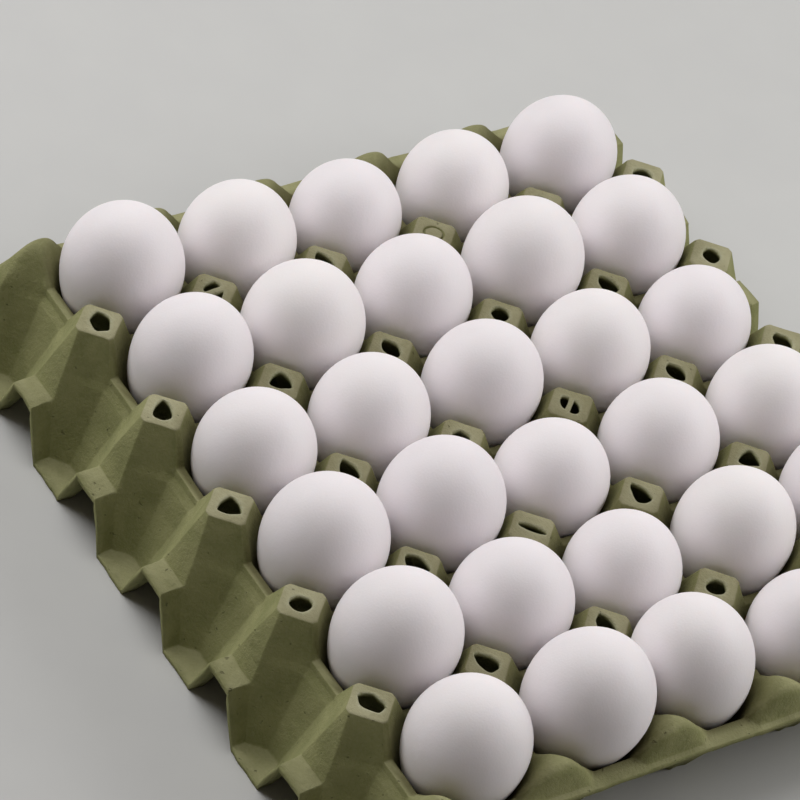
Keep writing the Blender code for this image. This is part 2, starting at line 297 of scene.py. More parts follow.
# %% [markdown]
# ## Post tops
# A top is a flat square with a hole where the pulp tore. A boolean cut would make the hole but leave long
# thin triangles round it, so the square is woven round its hole instead. Two posts keep a strand of pulp
# across the hole, and one never opened: it shows only the ring that the mould cut. The holes tear towards
# the same side, so their ways differ little.
# %% Post tops
TOP_ROWS = (0, 0.12, 0.33, 0.58, 0.82, 1)
RING_RADIUS, RING_WIDTH, RING_DEPTH = 3.6 * MM, 0.35 * MM, 1.0 * MM
SHUT_POST = (1, 3)                       # (line in X, line in Y)
STRANDS = {(1, 1): 10, (3, 3): 14}       # where on its hole's outline the strand starts
STRAND_POINTS, STRAND_STEPS = 4, 6       # how many of the outline's points it takes, and its rows
HOLE_SHIFT = 0.4 * MM
BRIM = 1.7 * MM                          # least width of pulp round a hole
KNOWN_HOLES = {(1, 0): ("five", 162), (2, 0): ("drop", 148), (3, 0): ("triangle", 148), (4, 0): ("oval", 70),
               (1, 1): ("five", 150), (2, 1): ("triangle", 148), (2, 2): ("long", 0), (2, 3): ("oval", 150),
               (2, 4): ("drop", 180), (3, 2): ("small", 150), (3, 3): ("long", 0), (3, 4): ("long", 5),
               (4, 2): ("slit", 41), (4, 3): ("drop", 180), (5, 3): ("oval", 90), (2, 5): ("oval", 155),
               (3, 5): ("long", 0), (1, 5): ("oval", 40)}
USUAL_KINDS = ("drop", "triangle", "drop", "five", "drop", "oval")
USUAL_WAY, USUAL_SPREAD = 175, 30        # degrees
RING_ROWS = [i / 8 for i in range(9)]
CENTRE_ROWS = (0, 0.15, 0.5, 1)
hole_draws = random.Random(11)


def post_outline(x, y):
    corners = []
    for quarter in range(4):
        turn = Matrix.Rotation(quarter * math.pi / 2, 3, "Z")
        for side in (-CLIP, CLIP):
            corners.append(Vector((x, y, POST_Z)) + turn @ Vector((POST_REACH, side, 0)))
    ring = []
    for i, corner in enumerate(corners):
        ring += edge(corner, corners[(i + 1) % len(corners)], POST_STEPS if i % 2 else ACROSS_STEPS)[:-1]
    return ring


def weave_shut_top(outline, middle, first_angle):
    angles = [first_angle + 2 * math.pi * i / len(outline) for i in range(len(outline))]
    inner, outer = [[middle + radius * Vector((math.cos(angle), math.sin(angle), 0)) for angle in angles]
                    for radius in (RING_RADIUS - 2 * RING_WIDTH, RING_RADIUS + 2 * RING_WIDTH)]
    loom.weave(outline, outer, TOP_ROWS, closed=True)
    loom.weave(outer, inner, RING_ROWS, closed=True)
    loom.fan(inner, middle, CENTRE_ROWS)


def kept_off(spot, corner, middle):
    """A point of a hole, pulled in where it would come too near the edge of the top."""
    reach = min((spot - middle).length, (corner - middle).length - BRIM)
    return middle + (spot - middle).normalized() * reach


def weave_post(line_x, line_y):
    post = (line_x, line_y)
    middle = Vector((line_x * PITCH - SHORT_SIDE, line_y * PITCH - LONG_SIDE, POST_Z))
    outline = post_outline(middle.x, middle.y)
    count = len(outline)
    first_angle = -math.pi * ACROSS_STEPS / count
    kind = hole_draws.choice(USUAL_KINDS)
    way = USUAL_WAY + hole_draws.uniform(-USUAL_SPREAD, USUAL_SPREAD)
    shift = Vector((hole_draws.uniform(-1, 1), hole_draws.uniform(-1, 1), 0)) * HOLE_SHIFT
    if post == SHUT_POST:
        weave_shut_top(outline, middle, first_angle)
        return "shut"
    kind, way = KNOWN_HOLES.get(post, (kind, way))
    hole = torn_outline(kind, math.radians(way), middle + shift, count, first_angle)
    hole = [kept_off(spot, corner, middle) for spot, corner in zip(hole, outline)]
    loom.weave(outline, hole, TOP_ROWS, closed=True)
    if post in STRANDS:
        here = STRANDS[post]
        opposite = here + count // 2
        far_side = hole[opposite:opposite + STRAND_POINTS]
        loom.weave(hole[here:here + STRAND_POINTS], far_side[::-1], STRAND_STEPS)
    return kind


kinds = [weave_post(line_x, line_y) for line_x in range(1, CUPS_X) for line_y in range(CUPS_Y + 1)]
print("post tops:", {kind: kinds.count(kind) for kind in sorted(set(kinds))})

# %% [markdown]
# ## The bays of the long sides
# Below the outer posts the sheet comes down in folds: a steep face under every post ends on a small ledge,
# and between two posts a bay runs down to a flat foot. Under its saddle the wall has a shallow groove with
# a low welt below it, left by the join in the mould. An extruded outline could give the bays, but not folds
# that lean two ways at once. So each bay is a stack of lines that cross it, woven one after another from
# the saddle down.
# %% Bays
LEDGE_Z = 23.0 * MM
LEDGE_HALF = 7.0 * MM
LEDGE_IN, LEDGE_OUT = 17.5 * MM, 26.5 * MM
FOOT_OUT = 26.0 * MM
GROOVE_Z, WELT_Z = 34.2 * MM, 32.0 * MM
GROOVE_IN, WELT_OUT = 0.9 * MM, 0.5 * MM
UPPER_STEPS = (3, 1, 3)               # rows from the top to the groove, to the welt, to the ledge's level
LOWER_ROWS = (0, 0.018, 0.055, 0.4, 0.95, 1)
OUT_ROWS = (0, 0.05, 0.15, 0.55, 1)
BAY_STEPS = (POST_STEPS, SLOPE_STEPS, LEVEL_STEPS, SLOPE_STEPS, POST_STEPS)
foot_a, foot_b = HALF - FLOOR_A, HALF - FLOOR_B


def at_height(top, foot, z):
    return top.lerp(foot, (top.z - z) / (top.z - foot.z))


def bay_line(place, half):
    """A line across a bay; half holds its corners (s, a, z) from the middle outward."""
    spots = [Vector(place(-s, a, z)) for s, a, z in reversed(half)]
    spots += [Vector(place(*corner)) for corner in half]
    return chain(*[edge(spots[i], spots[i + 1], BAY_STEPS[i]) for i in range(5)])


def weave_bay(place):
    """Outer wall between two posts; place(s, a, z): s along the side, a outward from the post line."""
    top = [Vector((SADDLE_HALF, RIDGE, SADDLE_Z)), Vector((HALF - POST_REACH, CLIP, POST_Z)),
           Vector((HALF - CLIP, POST_REACH, POST_Z))]
    feet = [Vector((FLOOR_B, foot_a, FLOOR_Z)),
            Vector(((FLOOR_A + FLOOR_B) / 2, (foot_a + foot_b) / 2, FLOOR_Z)),
            Vector((FLOOR_A, foot_b, FLOOR_Z))]
    ledge = Vector((HALF - LEDGE_HALF, LEDGE_IN, LEDGE_Z))
    middle = [at_height(a, b, LEDGE_Z) for a, b in zip(top[:2], feet)] + [ledge]
    groove = [at_height(a, b, GROOVE_Z) for a, b in zip(top, middle)]
    welt = [at_height(a, b, WELT_Z) for a, b in zip(top, middle)]
    for pressed, raised in zip(groove[:2], welt[:2]):
        pressed.y -= GROOVE_IN
        raised.y += WELT_OUT
    rim = [Vector((spot.x, FOOT_OUT, FLOOR_Z)) for spot in feet]
    lines = [bay_line(place, half) for half in (top, groove, welt, middle, feet, rim)]
    for upper, lower, rows in zip(lines, lines[1:], (*UPPER_STEPS, LOWER_ROWS, OUT_ROWS)):
        loom.weave(upper, lower, rows)
    for end in (-1, 1):
        fold = [Vector(place(end * ledge.x, a, ledge.z)) for a in (LEDGE_IN, LEDGE_OUT)]
        foot = [Vector(place(end * FLOOR_A, a, FLOOR_Z)) for a in (foot_b, FOOT_OUT)]
        loom.weave([fold[0].lerp(fold[1], row) for row in OUT_ROWS],
                   [foot[0].lerp(foot[1], row) for row in OUT_ROWS], LOWER_ROWS)


for side in (-1, 1):
    for column in range(CUPS_X):
        x = cup_middle(column, 0)[0]
        weave_bay(lambda s, a, z, x=x: (x + s, side * (LONG_SIDE + a), z))
print("bays:", 2 * CUPS_X, "columns in each:", sum(BAY_STEPS))

# %% [markdown]
# ## The steps under the side posts
# The outer face of a side post is narrow at the top and widens down to a small ledge, which stiffens the
# long side and gives fingers a hold. A tapered box set against the wall could show it, but would leave a
# doubled wall behind it. It is woven as part of the sheet instead, on the same rows as the bays beside it,
# and one function serves the whole steps and the ones that the corners cut short.
# %% Steps
def weave_step(place, top_right=CLIP, foot_right=LEDGE_HALF):
    """Outer face of a side post and its ledge; the corner ones are cut short on the right."""
    top = [Vector((-CLIP, POST_REACH, POST_Z)), Vector((top_right, POST_REACH, POST_Z))]
    fold = [Vector((-LEDGE_HALF, LEDGE_IN, LEDGE_Z)), Vector((foot_right, LEDGE_IN, LEDGE_Z))]
    rim = [Vector((spot.x, LEDGE_OUT, LEDGE_Z)) for spot in fold]
    groove, welt = [[at_height(a, b, z) for a, b in zip(top, fold)] for z in (GROOVE_Z, WELT_Z)]
    lines = [edge(place(*left), place(*right), ACROSS_STEPS)
             for left, right in (top, groove, welt, fold, rim)]
    for upper, lower, rows in zip(lines, lines[1:], (*UPPER_STEPS, OUT_ROWS)):
        loom.weave(upper, lower, rows)


for side in (-1, 1):
    for line in range(1, CUPS_X):
        x = line * PITCH - SHORT_SIDE
        weave_step(lambda s, a, z, x=x: (x + s, side * (LONG_SIDE + a), z))
print("ledges:", 2 * (CUPS_X - 1))

# %% [markdown]
# ## The two short sides
# Here the posts are cut off near their middle line, and a steep face drops to a narrow rim level with the
# saddles. The tray is open below it, so the outermost cups can be seen from the end. Whole posts could be
# cut through with a plane, but the rim would still have to be joined to them. So half posts are woven,
# their tops closed by a fan of quads, and the rim goes on from their faces.
# %% Short sides
LIP_OUT = 5.0 * MM
LIP_Z = SADDLE_Z - 0.8 * MM
END_TOP, END_FACE = 1.5 * MM, 3.0 * MM
END_SPREAD = 12.0 * MM
END_STEPS = 8
LIP_STEPS = 4
FAN_ROWS = (0, 0.09, 0.28, 0.6, 1)


def weave_end_bay(place):
    """Rim between two posts of a short side; a is measured outward."""
    foot = HALF - END_SPREAD
    for end in (-1, 1):
        post = edge(place(end * (HALF - POST_REACH), -CLIP, POST_Z),
                    place(end * (HALF - POST_REACH), END_TOP, POST_Z), ACROSS_STEPS)
        saddle = edge(place(end * SADDLE_HALF, -RIDGE, SADDLE_Z),
                      place(end * foot, END_FACE, SADDLE_Z), ACROSS_STEPS)
        rim = edge(place(end * SADDLE_HALF, LIP_OUT, LIP_Z), place(end * foot, LIP_OUT, LIP_Z), ACROSS_STEPS)
        loom.weave(post, saddle, SLOPE_STEPS)
        loom.weave(saddle, rim, LIP_STEPS)
    loom.weave(edge(place(-SADDLE_HALF, -RIDGE, SADDLE_Z), place(SADDLE_HALF, -RIDGE, SADDLE_Z), LEVEL_STEPS),
               edge(place(-SADDLE_HALF, LIP_OUT, LIP_Z), place(SADDLE_HALF, LIP_OUT, LIP_Z), LEVEL_STEPS),
               LIP_STEPS)


def weave_end_post(place):
    """Half a post, closed on top; its outer face drops to the rim."""
    corners = [(-POST_REACH, END_TOP), (-POST_REACH, -CLIP), (-CLIP, -POST_REACH), (CLIP, -POST_REACH),
               (POST_REACH, -CLIP), (POST_REACH, END_TOP), (-POST_REACH, END_TOP)]
    steps = (ACROSS_STEPS, POST_STEPS, ACROSS_STEPS, POST_STEPS, ACROSS_STEPS, END_STEPS)
    edges = [edge(place(*corners[i], POST_Z), place(*corners[i + 1], POST_Z), steps[i]) for i in range(6)]
    loom.fan(chain(*edges)[:-1], place(0, -CLIP, POST_Z), FAN_ROWS)
    fold = edge(place(END_SPREAD, END_FACE, SADDLE_Z), place(-END_SPREAD, END_FACE, SADDLE_Z), END_STEPS)
    rim = edge(place(END_SPREAD, LIP_OUT, LIP_Z), place(-END_SPREAD, LIP_OUT, LIP_Z), END_STEPS)
    loom.weave(edges[-1], fold, SLOPE_STEPS)
    loom.weave(fold, rim, LIP_STEPS)


for side in (-1, 1):
    for row in range(CUPS_Y):
        y = cup_middle(0, row)[1]
        weave_end_bay(lambda s, a, z, y=y: (side * (SHORT_SIDE + a), y + s, z))
    for line in range(1, CUPS_Y):
        y = line * PITCH - LONG_SIDE
        weave_end_post(lambda s, a, z, y=y: (side * (SHORT_SIDE + a), y + s, z))
print("end posts:", 2 * (CUPS_Y - 1))

# %% [markdown]
# ## The four corners
# A corner post is a quarter that belongs to both kinds of side: its step ends in the short side's rim.
# Mirrored copies of one corner would be turned inside out; woven into the sheet, all four get their facing
# with the rest. The corner's face has the rows of a bay at one end and those of a saddle's slope at the
# other, which is what the loom's last_rows are for.
# %% Corners
def weave_corner(place):
    """Where a long side meets a short one; s runs out to the short side and a to the long one."""
    half = END_STEPS // 2
    corners = [(END_TOP, -POST_REACH), (-CLIP, -POST_REACH), (-POST_REACH, -CLIP), (-POST_REACH, CLIP),
               (-CLIP, POST_REACH), (END_TOP, POST_REACH), (END_TOP, 0), (END_TOP, -POST_REACH)]
    steps = (ACROSS_STEPS, POST_STEPS, ACROSS_STEPS, POST_STEPS, ACROSS_STEPS, half, half)
    edges = [edge(place(*corners[i], POST_Z), place(*corners[i + 1], POST_Z), steps[i]) for i in range(7)]
    loom.fan(chain(*edges)[:-1], place(-CLIP, 0, POST_Z), FAN_ROWS)
    down = place(END_FACE, LEDGE_IN, LEDGE_Z)
    down_out = place(LIP_OUT, LEDGE_IN, LEDGE_Z)
    fold = chain(edge(down, place(END_FACE, 0, SADDLE_Z), half),
                 edge(place(END_FACE, 0, SADDLE_Z), place(END_FACE, -END_SPREAD, SADDLE_Z), half))
    lip = chain(edge(down_out, place(LIP_OUT, 0, LIP_Z), half),
                edge(place(LIP_OUT, 0, LIP_Z), place(LIP_OUT, -END_SPREAD, LIP_Z), half))
    brow = chain(edges[5], edges[6])
    drop = [brow[0], at_height(brow[0], fold[0], GROOVE_Z), at_height(brow[0], fold[0], WELT_Z), fold[0]]
    stops = chain(*[edge(drop[i], drop[i + 1], UPPER_STEPS[i]) for i in range(3)])
    loom.weave(brow, fold, [(drop[0] - stop).length / (drop[0] - drop[3]).length for stop in stops],
               last_rows=SLOPE_STEPS)
    loom.weave(fold, lip, LIP_STEPS)
    ledge_end = edge(place(END_FACE, LEDGE_OUT, LEDGE_Z), place(LIP_OUT, LEDGE_OUT, LEDGE_Z), LIP_STEPS)
    loom.weave(edge(down, down_out, LIP_STEPS), ledge_end, OUT_ROWS)
    weave_step(place, top_right=END_TOP, foot_right=END_FACE)


for side in (-1, 1):
    for end in (-1, 1):
        weave_corner(lambda s, a, z: (end * (SHORT_SIDE + s), side * (LONG_SIDE + a), z))
print("quads before welding:", len(loom.bm.faces))

# %% [markdown]
# ## From sharp folds to pressed pulp
# Wet pulp can't hold a sharp edge. A bevel would trip over corners where six folds meet, and subdivision
# would eat the saddles. So the sheet's points are drawn towards their neighbours a few times, near ones
# more strongly than far ones: flats stay flat, and folds get a radius of about a millimetre. Points on the
# free rim only follow the rim. The posts of the short sides and the skirt's ledges are worn rounder, so
# theirs are drawn together for longer.
# %% Soften the folds
PULL = 0.5
FOLD_PASSES, MOUND_PASSES, SKIRT_PASSES = 3, 30, 12
SKIRT_FOOT = LEDGE_Z + 5 * MM
MOUND_REACH, MOUND_FOOT = POST_REACH + 6 * MM, SADDLE_Z + 0.3 * MM
tray_mesh = loom.finish("tray_pulp")


def sheet_arrays(mesh):
    """The sheet's points, its edges as pairs of points, and which edges are free."""
    points = np.empty(len(mesh.vertices) * 3)
    mesh.vertices.foreach_get("co", points)
    pairs = np.empty(len(mesh.edges) * 2, dtype=int)
    mesh.edges.foreach_get("vertices", pairs)
    loop_edges = np.empty(len(mesh.loops), dtype=int)
    mesh.loops.foreach_get("edge_index", loop_edges)
    uses = np.bincount(loop_edges, minlength=len(mesh.edges))
    return points.reshape(-1, 3), pairs.reshape(-1, 2), uses == 1


def drawn_together(points, pairs, free, passes, evenly=False, where=1.0):
    """Moves every point towards its neighbours: near ones pull harder, or all pull evenly."""
    on_rim = np.zeros(len(points), dtype=bool)
    on_rim[pairs[free].ravel()] = True
    a = np.concatenate([pairs[:, 0], pairs[:, 1]])
    b = np.concatenate([pairs[:, 1], pairs[:, 0]])
    pulls = ~on_rim[a] | np.concatenate([free, free])
    a, b = a[pulls], b[pulls]
    for _ in range(passes):
        apart = points[b] - points[a]
        length = np.maximum(np.linalg.norm(apart, axis=1), WELD)
        weight = np.ones_like(length) if evenly else 1 / length
        total = np.zeros_like(points)
        np.add.at(total, a, apart * weight[:, None])
        points = points + where * PULL * total / np.bincount(a, weight, len(points))[:, None]
    return points, on_rim


points, pairs, free = sheet_arrays(tray_mesh)
sharp = points
points, on_rim = drawn_together(points, pairs, free, FOLD_PASSES)
on_mound = (np.abs(np.abs(points[:, 0]) - SHORT_SIDE) < MOUND_REACH) & (points[:, 2] > MOUND_FOOT)
points, on_rim = drawn_together(points, pairs, free, MOUND_PASSES, evenly=True, where=on_mound[:, None])
on_skirt = (np.abs(points[:, 1]) > LONG_SIDE + POST_REACH) & (points[:, 2] < SKIRT_FOOT)
points, on_rim = drawn_together(points, pairs, free, SKIRT_PASSES, where=on_skirt[:, None])
print("points:", len(points), "on free rims:", int(on_rim.sum()),
      "largest move, mm:", round(float(np.linalg.norm(points - sharp, axis=1).max()) / MM, 2))

# %% [markdown]
# ## Unevenness
# No two cups came off the mould alike. Slow noise bends the sheet by half a millimetre, and the long sides
# a little more. Every post stands a bit skew, the rims are ragged, and the posts of the short sides have
# slumped into rounded mounds. A displace modifier could move the sheet along its normals, but it can't tell
# a rim from a wall or one post from the next. So a small function moves every point, by what it belongs to.
# %% Uneven pulp
SLOW, SLOW_DEPTH = 1 / (22 * MM), 0.45 * MM
QUICK, QUICK_DEPTH = 1 / (7 * MM), 0.10 * MM
RAGGED, RAGGED_DEPTH = 1 / (4 * MM), 0.25 * MM
SKIRT, SKIRT_DEPTH = 1 / (11 * MM), 0.8 * MM
SKEW = 0.5 * MM
MOUND_DEPTH, SLUMP = 3.2 * MM, 1.0 * MM
CROWN_IN = 2.5 * MM               # how far inside the post line a mound is highest
RING_RISE = 0.9                   # the ring of the shut post is pressed only into its top
SOLE = 0.1 * MM                   # points this near to the floor's level never sink
post_draws = random.Random(5)
post_skew = {(i, j): Vector((post_draws.uniform(-1, 1), post_draws.uniform(-1, 1),
                             post_draws.uniform(-1, 0.4))) * SKEW
             for i in range(CUPS_X + 1) for j in range(CUPS_Y + 1)}


def clamp(value):
    return max(0.0, min(1.0, value))


def warped(spot, rim):
    """Moves one point of the sheet the way uneven pulp would have it."""
    shift = noise.noise_vector(spot * SLOW) * SLOW_DEPTH + noise.noise_vector(spot * QUICK) * QUICK_DEPTH
    if rim:
        shift += noise.noise_vector(spot * RAGGED) * RAGGED_DEPTH
    beyond = clamp((abs(spot.y) - LONG_SIDE - POST_REACH) / (LEDGE_IN - POST_REACH))
    shift += noise.noise_vector(spot * SKIRT) * SKIRT_DEPTH * beyond
    rise = clamp((spot.z - SADDLE_Z) / (POST_Z - SADDLE_Z))
    post = (min(CUPS_X, max(0, round((spot.x + SHORT_SIDE) / PITCH))),
            min(CUPS_Y, max(0, round((spot.y + LONG_SIDE) / PITCH))))
    shift += post_skew[post] * rise
    if post == SHUT_POST and rise > RING_RISE:
        middle = Vector((post[0] * PITCH - SHORT_SIDE, post[1] * PITCH - LONG_SIDE))
        shift.z -= RING_DEPTH * math.exp(-(((spot.xy - middle).length - RING_RADIUS) / RING_WIDTH) ** 2)
    if post[0] in (0, CUPS_X):
        crown = Vector((math.copysign(SHORT_SIDE - CROWN_IN, spot.x), post[1] * PITCH - LONG_SIDE))
        shift.z -= (SLUMP + MOUND_DEPTH * clamp((spot.xy - crown).length / POST_REACH) ** 2) * rise
    moved = spot + shift
    moved.z = max(moved.z, spot.z if spot.z <= FLOOR_Z + SOLE else FLOOR_Z)
    return moved


for i in range(len(points)):
    points[i] = warped(Vector(points[i]), on_rim[i])
tray_mesh.vertices.foreach_set("co", points.ravel())
tray_mesh.update()
print("sheet from", (points.min(0) / MM).round(1).tolist(), "to", (points.max(0) / MM).round(1).tolist())

# %% [markdown]
# ## Thickness of the pulp
# A tray that leaves its mould has no overhang. So its underside can be the upper side moved straight down:
# by two millimetres where it is level, and by more on a steep wall, until the wall is two millimetres
# thick. Solidify would move each point along its own normal, and the two sides of a narrow saddle would
# cross. The underside never touched the mould and is rounder, so the drop is averaged over neighbouring
# points.
# %% Underside
STEEPEST = 0.30               # smallest upward share of a normal that is reckoned with
FELT_PASSES = 6
normals = np.empty(len(points) * 3)
tray_mesh.vertex_normals.foreach_get("vector", normals)
neighbours = np.bincount(pairs.ravel())


def averaged(values, passes):
    """Values carried by the points, averaged over neighbouring points a few times."""
    for _ in range(passes):
        around = np.bincount(pairs[:, 0], values[pairs[:, 1]], len(values))
        around += np.bincount(pairs[:, 1], values[pairs[:, 0]], len(values))
        values = (values + around / neighbours) / 2
    return values


drop = averaged(PULP / np.maximum(normals[2::3], STEEPEST), FELT_PASSES)
drop = np.minimum(drop, points[:, 2])
print("drop of the underside, mm:", round(drop.min() / MM, 2), "to", round(drop.max() / MM, 2))

# %% [markdown]
# ## One closed body
# The real sheet is solid pulp, so its mesh has to be closed too: upper side, underside, and the band that
# joins them round every hole and rim. Bridging the rims by hand in Edit Mode would do it; here each rim
# edge tells which way its band has to face. Before that, the upper side gets three numbers per point for
# its colour: its painted shade, its share of the painted light on faces that look up, and how torn it is.
# %% Tray piece
# Painted shade: inside the tray it grows darker from the first height down to the second, and it also lies on
# the posts between the eggs.
SHADE_FROM, SHADE_TO = 49.5 * MM, 30.0 * MM
INNER_SHADE = 0.32                # posts between the eggs, even at their tops
# Painted light on faces that look up: its share grows between these two heights, and the least share stays
# low down and on the posts of the short sides.
LIT_RAMP_LOW, LIT_RAMP_HIGH = 38.0 * MM, 46.0 * MM
LIT_LEAST, LIT_ENDS = 0.4, 0.35   # low down, and on the posts of the short sides
TORN_PASSES, TORN_GAIN = 2, 1.6
from_side = np.minimum(SHORT_SIDE - np.abs(points[:, 0]), LONG_SIDE - np.abs(points[:, 1]))
deep = (from_side > 0) * np.clip((SHADE_FROM - points[:, 2]) / (SHADE_FROM - SHADE_TO), 0, 1)
lit_share = LIT_LEAST + (1 - LIT_LEAST) * np.clip((points[:, 2] - LIT_RAMP_LOW) / (LIT_RAMP_HIGH - LIT_RAMP_LOW), 0, 1)
lit_share[np.abs(points[:, 0]) > SHORT_SIDE - POST_REACH] = LIT_ENDS
on_hole = (on_rim & (points[:, 2] > LIT_RAMP_HIGH)).astype(float)
torn = np.clip(TORN_GAIN * averaged(on_hole, TORN_PASSES), 0, 1)
# The first number carries the painted shade, and the second the share of painted light on faces that look up.
carried = {"depth": np.maximum(deep, INNER_SHADE * (from_side > HALF)), "lit_top_share": lit_share, "torn": torn}
for name, values in carried.items():
    tray_mesh.attributes.new(name, "FLOAT", "POINT").data.foreach_set("value", values)
bm = bmesh.new()
bm.from_mesh(tray_mesh)
lower = [bm.verts.new((vert.co.x, vert.co.y, vert.co.z - drop[vert.index])) for vert in list(bm.verts)]
rims = [edge.link_loops[0] for edge in bm.edges if edge.is_boundary]
for face in list(bm.faces):
    bm.faces.new([lower[vert.index] for vert in reversed(face.verts)])
for loop in rims:
    here, after = loop.vert, loop.link_loop_next.vert
    bm.faces.new((after, here, lower[here.index], lower[after.index]))
bm.to_mesh(tray_mesh)
bm.free()
tray_mesh.shade_smooth()
tray = bpy.data.objects.new("pulp_tray", tray_mesh)
bpy.context.scene.collection.objects.link(tray)
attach(tray, "root")
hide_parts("tray")
print("tray triangles:", 2 * len(tray_mesh.polygons), "band quads:", len(rims))

# %% [markdown]
# ## The eggs
# A hen's egg is a turned shape: two half ellipses of unlike height, with a leaner pointed end. A stretched
# sphere would be alike at both ends, so half an outline is spun round instead. The blunt end is up. Most
# eggs lean a little the same way, as they rolled when the tray was set down: an egg rolls about a point
# below its widest level, so its middle moves aside too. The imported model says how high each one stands. The
# shell isn't quite round, so slow noise moves it by a tenth of a millimetre or two.
# %% Eggs
BLUNT_OVER_RADIUS, POINT_OVER_RADIUS = 1.14, 1.46
POINT_TAPER = 0.06
EGG_RINGS, EGG_STEPS = 40, 56
EGG_LEAN, LEAN_SPREAD = 6.5, 3.0      # degrees
LEAN_WAY, WAY_SPREAD = 30.0, 35.0
OWN_LEANS = {(5, 2): (13.0, 247.0), (0, 0): (3.0, 200.0)}   # (column, row): (lean, way)
PIVOT_OVER_RADIUS = 0.40
EGG_GRADES = ("LMSSM", "MLMLM", "MMMMS", "LLSMM", "LMSML", "MLMSM")
EGG_RADIUS = {"S": 21.0 * MM, "M": 21.8 * MM, "L": 22.6 * MM}
UNROUND, UNROUND_SIZE = 0.16 * MM, 30 * MM
SEED_STEP = 7.3                       # how far apart the eggs lie in the noise


def egg_profile(radius):
    """Half outline from the pointed tip to the blunt one, widest at height 0."""
    outline = []
    for ring in range(EGG_RINGS + 1):
        angle = -math.pi / 2 + math.pi * ring / EGG_RINGS
        lower = min(0.0, math.sin(angle))
        height = (POINT_OVER_RADIUS if angle < 0 else BLUNT_OVER_RADIUS) * math.sin(angle)
        width = math.cos(angle) * (1 - POINT_TAPER * lower * lower)
        outline.append(Vector((width * radius, 0, height * radius)))
    return outline


def egg_mesh(name, radius, seed):
    bm = bmesh.new()
    outline = [bm.verts.new(spot) for spot in egg_profile(radius)]
    edges = [bm.edges.new(pair) for pair in zip(outline, outline[1:])]
    bmesh.ops.spin(bm, geom=outline + edges, cent=(0, 0, 0), axis=(0, 0, 1),
                   angle=2 * math.pi, steps=EGG_STEPS, use_merge=True)
    bmesh.ops.remove_doubles(bm, verts=bm.verts, dist=WELD)
    bmesh.ops.recalc_face_normals(bm, faces=bm.faces)
    for vert in bm.verts:
        place = vert.co / UNROUND_SIZE + Vector((seed * SEED_STEP, 0, 0))
        vert.co += vert.co.normalized() * noise.noise(place) * UNROUND
    mesh = bpy.data.meshes.new(name)
    bm.to_mesh(mesh)
    bm.free()
    mesh.shade_smooth()
    return mesh


def egg_turn(column, row, draws):
    """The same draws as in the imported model, so that every egg leans the way its solid does."""
    lean = EGG_LEAN + draws.uniform(-LEAN_SPREAD, LEAN_SPREAD)
    way = LEAN_WAY + draws.uniform(-WAY_SPREAD, WAY_SPREAD)
    lean, way = OWN_LEANS.get((column, row), (lean, way))
    compass = math.radians(way)
    return Matrix.Rotation(math.radians(lean), 3, Vector((-math.sin(compass), math.cos(compass), 0.0)))


lean_draws = random.Random(30)
tint_draws = random.Random(8)
eggs = []
for column in range(CUPS_X):
    for row in range(CUPS_Y):
        node = f"egg_{column + 1}_{row + 1}"
        radius = EGG_RADIUS[EGG_GRADES[column][row]]
        turn = egg_turn(column, row, lean_draws)
        mesh = egg_mesh(f"shell_{column + 1}_{row + 1}", radius, len(eggs) + 1)
        mesh.transform(turn.to_4x4())
        tint = mesh.attributes.new("tint", "FLOAT", "POINT")
        tint.data.foreach_set("value", [tint_draws.random()] * len(mesh.vertices))
        egg = bpy.data.objects.new(f"white_{node}", mesh)
        bpy.context.scene.collection.objects.link(egg)
        aside = turn @ Vector((0, 0, PIVOT_OVER_RADIUS * radius))
        x, y = cup_middle(column, row)
        highest = max(vert.co.z for vert in mesh.vertices)
        egg.location = (x + aside.x, y + aside.y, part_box(node)[1][2] - highest)
        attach(egg, "root")
        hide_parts(node)
        eggs.append(egg)
print("eggs:", len(eggs), "triangles each:", 2 * len(eggs[0].data.polygons))

# %% [markdown]
# ## Shader maths as plain expressions
# No finish of the real tray is one flat colour, so every material here is a small program. It could be
# drawn as a net of nodes, or written node by node, but both are hard to read once they grow. So a socket is
# wrapped in a class whose operators add the Math nodes, and one method adds every other node.
# %% Socket wrapper
MIX_SHARE, MIX_FIRST, MIX_SECOND, MIX_RESULT = 0, 6, 7, 2     # sockets of a Mix node for colours
OWN_SPACE, NUMBER, UPWARD, NORMAL = 3, 2, 2, 1     # the outputs Object, Fac, Z and Normal


class Value:
    """A number that changes over the surface."""

    def __init__(self, paint, socket):
        self.paint, self.socket = paint, socket

    def _math(self, operation, first, second):
        return self.paint.node("ShaderNodeMath", {"operation": operation}, {0: first, 1: second})

    def __add__(self, other):
        return self._math("ADD", self, other)

    def __sub__(self, other):
        return self._math("SUBTRACT", self, other)

    def __mul__(self, other):
        return self._math("MULTIPLY", self, other)

    def __rsub__(self, other):
        return self._math("SUBTRACT", other, self)

    __radd__ = __add__
    __rmul__ = __mul__


